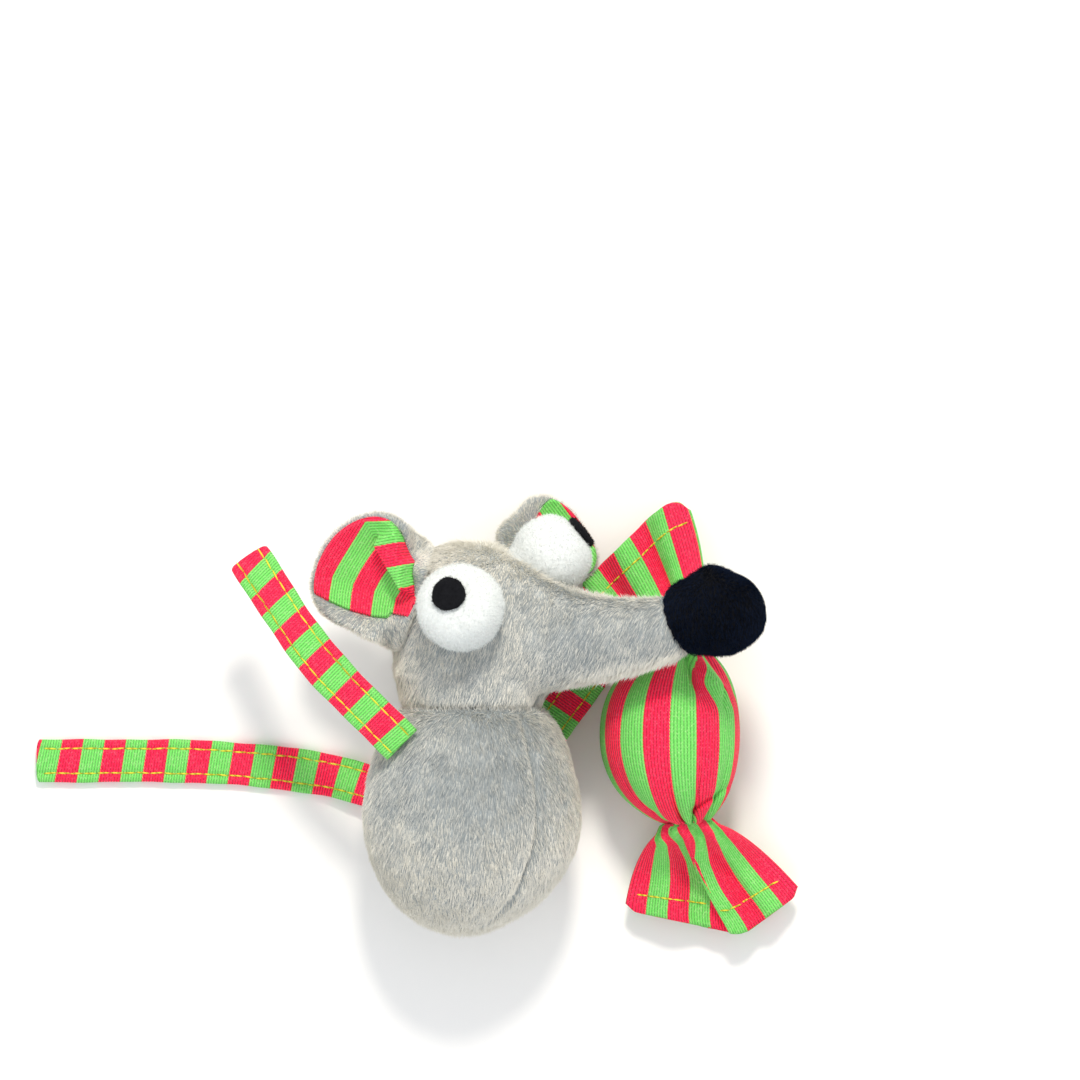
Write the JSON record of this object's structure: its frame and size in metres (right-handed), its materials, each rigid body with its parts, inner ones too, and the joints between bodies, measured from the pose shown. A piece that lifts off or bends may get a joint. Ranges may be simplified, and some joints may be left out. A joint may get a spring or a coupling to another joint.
{
  "type": "stuffed mouse cat toy",
  "caption": "Stuffed plush mouse cat toy with felt eyes, striped cotton ears, arms and tail, and a striped cloth sweet sewn to its left hand.",
  "frame": {"origin": "centre of the flat on the body's back, where the toy lies", "axes": "+Z out of the belly, +Y towards the head, +X towards the mouse's left and its snout"},
  "size_m": [0.1381, 0.0832, 0.047],
  "materials": {
    "plush": "short pile",
    "fibre_fill": "matte",
    "catnip": "matte",
    "nose_plush": "short pile",
    "white_felt": "matte",
    "black_felt": "matte",
    "striped_cotton": "ribbed, matte",
    "thread": "satin"
  },
  "bodies": {
    "torso": {"body_front_panel": "plush", "body_left_panel": "plush", "body_back_panel": "plush", "body_right_panel": "plush", "body_front_stuffing": "fibre_fill", "body_back_stuffing": "fibre_fill", "catnip_pouch": "catnip"},
    "head": {"head_right_panel": "plush", "head_left_panel": "plush", "head_stuffing": "fibre_fill", "nose_cover": "nose_plush", "nose_stuffing": "fibre_fill", "right_eye_cover": "white_felt", "right_eye_stuffing": "fibre_fill", "right_pupil": "black_felt", "left_eye_cover": "white_felt", "left_eye_stuffing": "fibre_fill", "left_pupil": "black_felt"},
    "right_ear": {"right_ear_back": "plush", "right_ear_lining": "striped_cotton"},
    "left_ear": {"left_ear_back": "plush", "left_ear_lining": "striped_cotton"},
    "right_arm": {"right_arm_strip": "striped_cotton"},
    "left_arm": {"left_arm_strip": "striped_cotton"},
    "tail": {"tail_strip": "striped_cotton"},
    "candy": {"candy_wrapper": "striped_cotton", "candy_stuffing": "fibre_fill", "candy_upper_tie": "thread", "candy_lower_tie": "thread"}
  },
  "joints": [
    {"name": "head_turn", "type": "hinge", "parent": "torso", "child": "head", "pos_m": [0, 0.01935, 0.0192], "axis": [0, -1, 0], "range_deg": [0, 35]},
    {"name": "right_ear_fold", "type": "hinge", "parent": "head", "child": "right_ear", "pos_m": [-0.00943, 0.03966, 0.03049], "axis": [0.3065, 0.9497, 0.0643], "range_deg": [0, 40], "stiffness_Nm_per_rad": 0.002},
    {"name": "left_ear_fold", "type": "hinge", "parent": "head", "child": "left_ear", "pos_m": [0.00979, 0.04173, 0.0101], "axis": [-0.8907, 0.3923, 0.2296], "range_deg": [0, 7], "stiffness_Nm_per_rad": 0.002},
    {"name": "right_arm_swing", "type": "hinge", "parent": "torso", "child": "right_arm", "pos_m": [-0.01261, 0.01289, 0.03272], "axis": [0.6759, 0.6843, 0.2737], "range_deg": [-20, 50], "stiffness_Nm_per_rad": 0.003},
    {"name": "left_arm_lift", "type": "hinge", "parent": "torso", "child": "left_arm", "pos_m": [0.0125, 0.01331, 0.00579], "axis": [0.8197, -0.5728, 0], "range_deg": [0, 8]},
    {"name": "candy_swing", "type": "hinge", "parent": "left_arm", "child": "candy", "pos_m": [0.03327, 0.0424, 0.00305], "axis": [0, 0, 1], "range_deg": [0, 15]},
    {"name": "tail_lift", "type": "hinge", "parent": "torso", "child": "tail", "pos_m": [-0.01273, 0.00309, 0.00291], "axis": [0.3221, 0.9339, -0.1549], "range_deg": [0, 35]}
  ]
}
